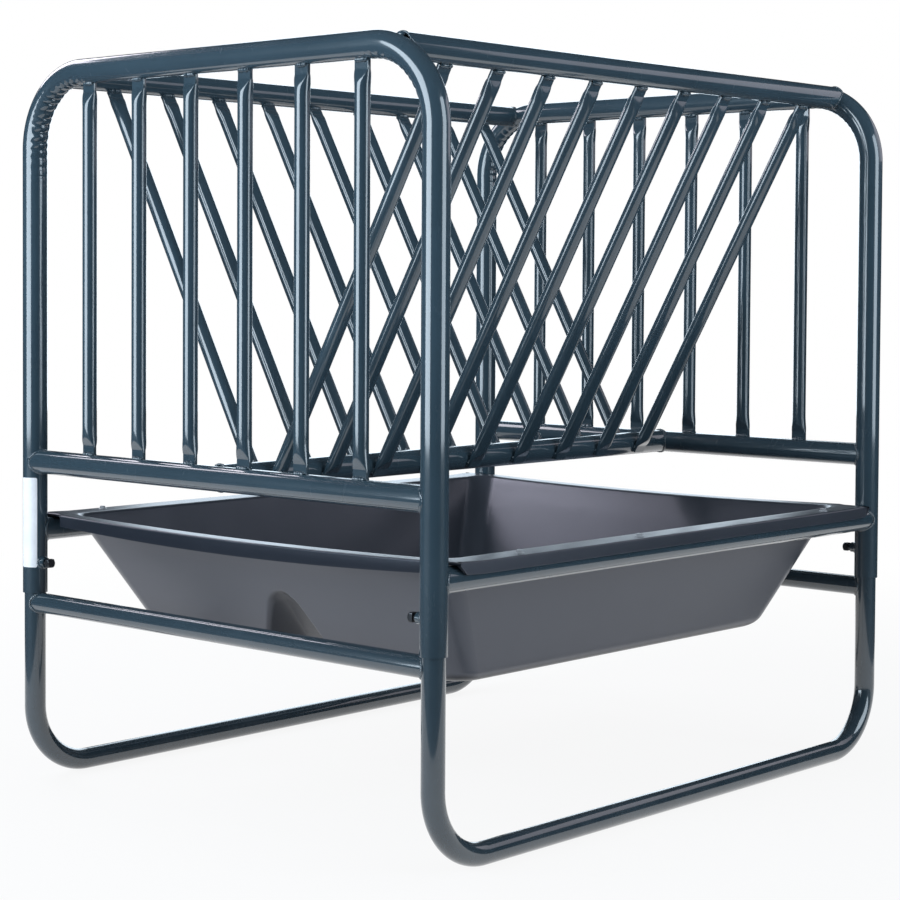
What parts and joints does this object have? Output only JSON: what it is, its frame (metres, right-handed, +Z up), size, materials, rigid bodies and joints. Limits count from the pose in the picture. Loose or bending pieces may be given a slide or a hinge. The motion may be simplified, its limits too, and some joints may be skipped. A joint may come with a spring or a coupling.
{
  "type": "hay and grain feeder",
  "caption": "Free-standing livestock feeder: a V-shaped tube hay rack over a moulded grain tray, on a skid base with adjustable legs.",
  "frame": {"origin": "middle of the footprint at floor level", "axes": "+X across the end panels, +Y along the rack and the skids, +Z up"},
  "size_m": [1.032, 1.2844, 1.2962],
  "materials": {
    "powder_coat": "glossy powder coat",
    "bolt_steel": "dark oiled steel",
    "tray_plastic": "satin moulded plastic"
  },
  "bodies": {
    "skid_base": {"left_skid": "powder_coat", "right_skid": "powder_coat", "front_cross_rail": "powder_coat", "rear_cross_rail": "powder_coat"},
    "upper_frame": {"front_arch": "powder_coat", "rear_arch": "powder_coat", "left_top_rail": "powder_coat", "right_top_rail": "powder_coat", "front_panel_rail": "powder_coat", "rear_panel_rail": "powder_coat", "left_tray_rail": "powder_coat", "right_tray_rail": "powder_coat", "centre_tube": "powder_coat", "front_panel_bar_1": "powder_coat", "front_panel_bar_2": "powder_coat", "front_panel_bar_3": "powder_coat", "front_panel_bar_4": "powder_coat", "front_panel_bar_5": "powder_coat", "front_panel_bar_6": "powder_coat", "rear_panel_bar_1": "powder_coat", "rear_panel_bar_2": "powder_coat", "rear_panel_bar_3": "powder_coat", "rear_panel_bar_4": "powder_coat", "rear_panel_bar_5": "powder_coat", "rear_panel_bar_6": "powder_coat", "left_rack_bar_1": "powder_coat", "left_rack_bar_2": "powder_coat", "left_rack_bar_3": "powder_coat", "left_rack_bar_4": "powder_coat", "left_rack_bar_5": "powder_coat", "left_rack_bar_6": "powder_coat", "left_rack_bar_7": "powder_coat", "left_rack_bar_8": "powder_coat", "left_rack_bar_9": "powder_coat", "right_rack_bar_1": "powder_coat", "right_rack_bar_2": "powder_coat", "right_rack_bar_3": "powder_coat", "right_rack_bar_4": "powder_coat", "right_rack_bar_5": "powder_coat", "right_rack_bar_6": "powder_coat", "right_rack_bar_7": "powder_coat", "right_rack_bar_8": "powder_coat", "right_rack_bar_9": "powder_coat", "front_left_weld_nut": "powder_coat", "front_right_weld_nut": "powder_coat", "rear_left_weld_nut": "powder_coat", "rear_right_weld_nut": "powder_coat", "tray": "tray_plastic"},
    "front_left_bolt": {"front_left_set_bolt": "bolt_steel"},
    "front_right_bolt": {"front_right_set_bolt": "bolt_steel"},
    "rear_left_bolt": {"rear_left_set_bolt": "bolt_steel"},
    "rear_right_bolt": {"rear_right_set_bolt": "bolt_steel"}
  },
  "joints": [
    {"name": "height_slide", "type": "slide", "parent": "skid_base", "child": "upper_frame", "axis": [0, 0, 1], "range_m": [0, 0.12]},
    {"name": "front_left_bolt_turn", "type": "hinge", "parent": "upper_frame", "child": "front_left_bolt", "pos_m": [-0.46, -0.62, 0.397], "axis": [1, 0, 0], "range_deg": [0, 360]},
    {"name": "front_right_bolt_turn", "type": "hinge", "parent": "upper_frame", "child": "front_right_bolt", "pos_m": [0.46, -0.62, 0.397], "axis": [-1, 0, 0], "range_deg": [0, 360]},
    {"name": "rear_left_bolt_turn", "type": "hinge", "parent": "upper_frame", "child": "rear_left_bolt", "pos_m": [-0.46, 0.62, 0.397], "axis": [1, 0, 0], "range_deg": [0, 360]},
    {"name": "rear_right_bolt_turn", "type": "hinge", "parent": "upper_frame", "child": "rear_right_bolt", "pos_m": [0.46, 0.62, 0.397], "axis": [-1, 0, 0], "range_deg": [0, 360]}
  ]
}
